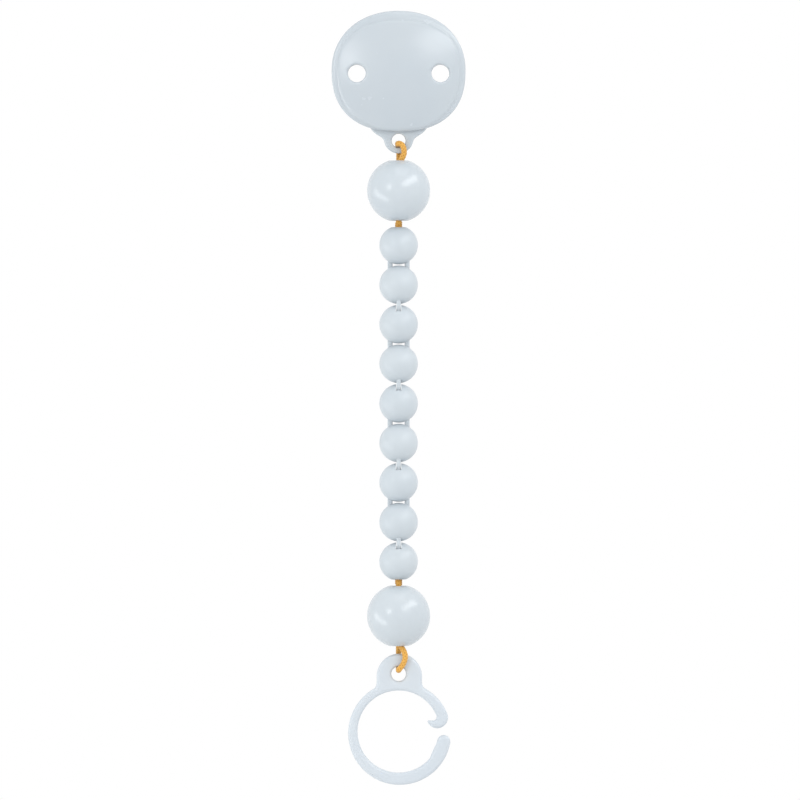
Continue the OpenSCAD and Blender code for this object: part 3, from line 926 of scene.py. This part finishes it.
def make_jaw():
    shell = plate([ccw(jaw_outline())], lambda p: -jaw_half_width(p), jaw_half_width, 0.4, rounds=3)
    steps = []
    round_r, reach = 2.2, HINGE_Y + 2.9
    knuckle = [*arc((HINGE_Y, HINGE_Z), round_r, 90, 270),
               (reach, HINGE_Z - round_r), (reach, HINGE_Z + round_r)]
    for x0, x1 in ((-JAW_HALF_W, -3.4), (3.4, JAW_HALF_W)):
        part = plate([ccw(even(knuckle, 0.3))], level(x0), level(x1), 0.25, rounds=2)
        steps.append(("UNION", mesh_of(sideways(part.points), part.faces)))
    steps.append(("UNION", tooth(0, 0.15, 0.95, 0.5)))
    steps.append(("DIFFERENCE", bore_x(HINGE_R + 0.06)))
    mesh = combine(mesh_of(sideways(shell.points), shell.faces), steps)
    finish_piece("rear_jaw", moved(mesh, scale=MM), "jaw", "jaw", ["clip_jaw"])


def make_spring():
    """The torsion spring: one leg on the base, the coil round the pin, one leg on the jaw."""
    turns, fine = 5.5, 40
    coil_r = HINGE_R + 0.3 + WIRE_D / 2
    pitch = WIRE_D * 1.1
    half = turns / 2 * pitch
    coil = [
        (-half + pitch * i / fine, HINGE_Y + coil_r * math.cos(math.pi + 2 * math.pi * i / fine),
         HINGE_Z - coil_r * math.sin(math.pi + 2 * math.pi * i / fine))
        for i in range(int(turns * fine) + 1)
    ]
    leg_in = smooth_curve([(-half, WIRE_D / 2, -26.5), (-half, WIRE_D / 2 + 0.4, -23.5),
                           (-half, HINGE_Y - coil_r, HINGE_Z - 1.2), coil[0]], 0.25)[:-1]
    leg_out = smooth_curve([coil[-1], (half, HINGE_Y + coil_r, HINGE_Z - 1.2), (half, 6.3, -23.5),
                            (half, 6.65, -26.5)], 0.25)[1:]
    points, faces, _ = sweep(np.vstack([leg_in, coil, leg_out]), plain(WIRE_D / 2), 10)
    spring = add_piece("torsion_spring", points, faces, "steel", None, ["jaw_spring"])
    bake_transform(spring)


# ---------- cords ----------


def make_cord(name, route, end_z, body, node):
    """One doubled cord: the braid, and the whipped end where its two runs enter the small ball."""
    curve = smooth_curve([(x, y + CHAIN_Y, z) for x, y, z in route], 0.15)
    points, faces, heights = sweep(curve, braided(CORD_D / 2), 28)
    add_piece(name, points, faces, "cord", body, [node], sharp=80, attribute=heights)
    turns, fine, up = 5, 24, math.copysign(1, end_z - (ball_z(1) + ball_z(9)) / 2)
    coil = [
        (0.72 * math.cos(2 * math.pi * i / fine), CHAIN_Y + 1.2 * math.sin(2 * math.pi * i / fine),
         end_z + up * (-1.1 + 0.55 * i / fine))
        for i in range(turns * fine + 1)
    ]
    points, faces, heights = sweep(np.array(coil), braided(0.36, pitch=1.6), 12)
    add_piece(name + "_end", points, faces, "cord", body, sharp=80, attribute=heights)


def make_knot(name, k, up, node):
    """The stopper knot inside a small ball, a cord tied in a trefoil."""
    scale, tube_r = 0.6, 0.52
    t = np.arange(150) * 2 * np.pi / 150
    x = np.sin(t) + 2 * np.sin(2 * t)
    y = np.cos(t) - 2 * np.cos(2 * t)
    z = -1.25 * np.sin(3 * t)
    centre = np.array([0, CHAIN_Y, ball_z(k) + up * 2.1])
    curve = np.column_stack([x, y, z]) * scale + centre
    points, faces, heights = sweep(curve, braided(tube_r, pitch=2.4), 20, closed=True)
    body = f"ball_{k}"
    add_piece(name, points, faces, "cord", body, [node], sharp=80, attribute=heights)


# ---------- beads and balls ----------


def make_bead(name, node, body):
    """A large bead with a bore whose mouths are softly rounded."""
    low, high = span(node)
    centre = (low + high) / 2
    outer = (high[0] - low[0]) / 2
    bore, lip = 1.9, 2.95
    lip_z = math.sqrt(outer**2 - lip**2)
    edge = math.degrees(math.asin(lip_z / outer))
    side = arc((0, 0), outer, -edge, edge, 2.5)
    top = bezier((lip, lip_z), (2.05, lip_z + 0.3), (bore, lip_z - 1.3), 8)[1:]
    profile = [*side, *top, *[(r, -z) for r, z in reversed(top)]]
    points, faces = lathe(profile, 112)
    add_piece(name, [(x + centre[0], y + centre[1], z + centre[2]) for x, y, z in points], faces,
              "bead", body, [node])


def ball_mesh():
    shape = bmesh.new()
    bmesh.ops.create_uvsphere(shape, u_segments=72, v_segments=44, radius=BALL_R)
    mesh = bpy.data.meshes.new("ball")
    shape.to_mesh(mesh)
    shape.free()
    return mesh


def link_mesh():
    """The loop under a ball, with its legs inside the ball."""
    end = (0, LINK_END_UP - BALL_PITCH)
    outer = [*arc(end, LINK_R, 180, 360, 6), (LINK_R, -3.4), (-LINK_R, -3.4)]
    inner_r = LINK_R - LINK_ARM
    inner = [*arc(end, inner_r, 180, 360, 8), (inner_r, -5.0), (-inner_r, -5.0)]
    loops = [ccw(even(outer, 0.3)), ccw(even(inner, 0.3))[::-1].copy()]
    shell = plate(loops, level(-LINK_T / 2), level(LINK_T / 2), 0.35, rounds=4)
    return mesh_of(facing(shell.points), shell.faces)


def hull(points):
    """The outline round some flat points, anticlockwise."""
    points = np.array(points)
    return points[geometry.convex_hull_2d([Vector(p) for p in points])]


def slot_mesh():
    """The cutter for a ball's slot: all the places that the loop above swings through."""
    r = LINK_R + LINK_GAP
    top = 2.2 * BALL_R
    loop = [*arc((0, LINK_END_UP), r, 180, 360, 8), (r, top), (-r, top)]
    swept = []
    for angle in (-SWING, 0, SWING):
        c, s = math.cos(math.radians(angle)), math.sin(math.radians(angle))
        swept += [(x * c - (z - PIN_UP) * s, x * s + (z - PIN_UP) * c + PIN_UP) for x, z in loop]
    shell = plate([ccw(hull(swept))], level(-SLOT_T / 2), level(SLOT_T / 2), 0)
    return mesh_of(facing(shell.points), shell.faces)


def pin_bore_mesh():
    shell = plate([circle((0, PIN_UP), LINK_PIN_R + 0.03, 32)[::-1]], level(-2.9), level(BALL_R + 2), 0)
    return mesh_of(facing(shell.points), shell.faces)


def mouth_mesh(up):
    """The cutter for the knot chamber and the mouth where the cord enters, its lip flared."""
    r, z = CHAMBER_R, CHAMBER_OFF
    neck = math.degrees(math.asin(MOUTH_R / r))
    chamber = [(r * math.sin(math.radians(a)), z - r * math.cos(math.radians(a)))
               for a in np.linspace(0, 180 - neck, 16)]
    surface = math.sqrt(BALL_R**2 - MOUTH_R**2)
    flare = [(MOUTH_R, surface - 0.3), (MOUTH_R + 0.06, surface - 0.12), (MOUTH_R + 0.2, surface)]
    profile = [*chamber, *flare, (MOUTH_R + 0.2, BALL_R + 2), (0, BALL_R + 2)]
    points, faces = lathe(profile, 48)
    return mesh_of([(x, y, up * h) for x, y, h in points], faces)


def make_balls():
    """Nine small balls. Odd balls have their slot in the side plane and their loop in the front plane."""
    for k in range(1, 10):
        odd = k % 2 == 1
        steps = []
        if k < 9:
            steps.append(("UNION", moved(link_mesh(), turn=0 if odd else 90)))
        if k > 1:
            turn = 90 if odd else 0
            steps.append(("DIFFERENCE", moved(slot_mesh(), turn=turn)))
            steps.append(("DIFFERENCE", moved(pin_bore_mesh(), turn=turn)))
        if k == 1:
            steps.append(("DIFFERENCE", mouth_mesh(1)))
        if k == 9:
            steps.append(("DIFFERENCE", mouth_mesh(-1)))
        mesh = combine(ball_mesh(), steps)
        mesh = moved(moved(mesh, offset=(0, CHAIN_Y, ball_z(k))), scale=MM)
        finish_piece(f"chain_ball_{k}", mesh, "ball", f"ball_{k}", [f"small_ball_{k}"])


# ---------- hook ring ----------


def ring_outline():
    """Hook, outer edge, eyelet tab with a flared foot, outer edge, tongue, inner edge, notch."""
    outer_r, tab_r, inner_r = 14.95, 6.6, 11.9
    outer_c = (RING_LOW[0] + outer_r, RING_LOW[2] + outer_r)
    tab_c = (outer_c[0] - 0.1, RING_HIGH[2] - tab_r)
    inner_c = (outer_c[0] - 0.3, outer_c[1] + 0.5)
    hook_c = (outer_c[0] + 10.9, outer_c[1] + 4.6)
    notch_c = (outer_c[0] + 9.63, outer_c[1] + 4.75)
    lip_c = (outer_c[0] + 8.38, outer_c[1] + 3.38)
    tongue_c = (outer_c[0] + 12.77, outer_c[1] - 2.45)
    tongue_root = [(10.55, -3.2), (10.0, -4.2), (9.45, -5.4)]
    foot = [(tab_r, -2.1), (tab_r + 0.2, -2.8)]
    outline = [
        *arc(hook_c, 3.15, 204, 382),
        *arc(outer_c, outer_r, 22, 62, 0.6),
        *[(tab_c[0] + x, tab_c[1] + z) for x, z in reversed(foot)],
        *arc(tab_c, tab_r, -6, 186, 1.2),
        *[(tab_c[0] - x, tab_c[1] + z) for x, z in foot],
        *arc(outer_c, outer_r, 119, 349, 0.6),
        *arc(tongue_c, 1.95, -10, 170),
        *[(outer_c[0] + x, outer_c[1] + z) for x, z in tongue_root],
        *arc(inner_c, inner_r, 319, 22, 0.8),
        *arc(notch_c, 1.12, 10, -110),
        *arc(lip_c, 0.42, 80, 190),
    ]
    return even(outline, 0.3, 2)


def make_ring():
    hole = circle((0, RING_EYE_Z), RING_EYE_R, 40)
    shell = plate([ring_outline(), hole], level(RING_LOW[1]), level(RING_HIGH[1]), 0.95, 1.6, 6)
    add_piece("hook_ring_body", facing(shell.points), shell.faces, "ring", "hook_ring", ["hook_ring"])


# ---------- carried-over CAD nodes ----------


def finish_cad_nodes():
    """The pins stay as designed and get their own finish."""
    for name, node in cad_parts.items():
        slot = "steel" if name == "jaw_pin" else "link_pin" if name.startswith("ball_pin") else None
        if slot is None:
            continue
        node.data.materials.clear()
        node.data.materials.append(MATERIALS[slot])


def main():
    scene = bpy.context.scene
    scene.view_settings.view_transform = "Standard"
    make_camera()
    make_cord("upper_braid", UPPER_ROUTE, ball_z(1) + CORD_PIVOT, "upper_cord", "upper_cord")
    make_cord("lower_braid", LOWER_ROUTE, ball_z(9) - CORD_PIVOT, "lower_cord", "lower_cord")
    make_lights()
    make_world()
    make_floor()
    make_cover()
    make_base()
    make_jaw()
    make_spring()
    make_knot("upper_stopper_knot", 1, 1, "upper_knot")
    make_knot("lower_stopper_knot", 9, -1, "lower_knot")
    make_bead("upper_big_bead", "upper_bead", "upper_bead")
    make_bead("lower_big_bead", "lower_bead", "lower_bead")
    make_balls()
    make_ring()
    finish_cad_nodes()


main()
